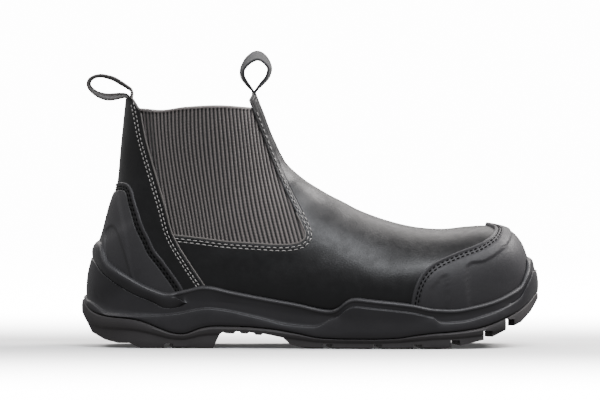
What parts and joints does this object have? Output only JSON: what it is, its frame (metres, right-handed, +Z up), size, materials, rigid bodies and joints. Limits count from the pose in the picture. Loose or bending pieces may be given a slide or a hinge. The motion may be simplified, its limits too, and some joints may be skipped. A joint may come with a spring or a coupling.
{
  "type": "side gore work boot",
  "caption": "Ankle-high pull-on leather work boot with elastic side gores, moulded toe cap and heel counter, cupped midsole, lugged outsole and webbing pull loops",
  "frame": {"origin": "middle of the boot's box, on the floor under the sole", "axes": "+X towards the toe, +Y towards the inner side of the right foot, +Z up"},
  "size_m": [0.3038, 0.1057, 0.1975],
  "materials": {
    "outsole_rubber": "matt moulded rubber",
    "midsole_foam": "satin moulded polyurethane",
    "insole_fabric": "woven cover",
    "leather": "smooth full grain, soft gloss",
    "gore_elastic": "ribbed elastic",
    "overlay_rubber": "matt moulded overlay",
    "webbing": "woven tape"
  },
  "bodies": {
    "root": {"outsole": "outsole_rubber", "midsole": "midsole_foam", "insole": "insole_fabric", "upper": "leather", "rear_quarter": "leather", "gore_lateral": "gore_elastic", "gore_medial": "gore_elastic", "toe_cap": "overlay_rubber", "heel_counter": "overlay_rubber", "pull_loop_front": "webbing", "pull_loop_rear": "webbing"}
  },
  "joints": []
}
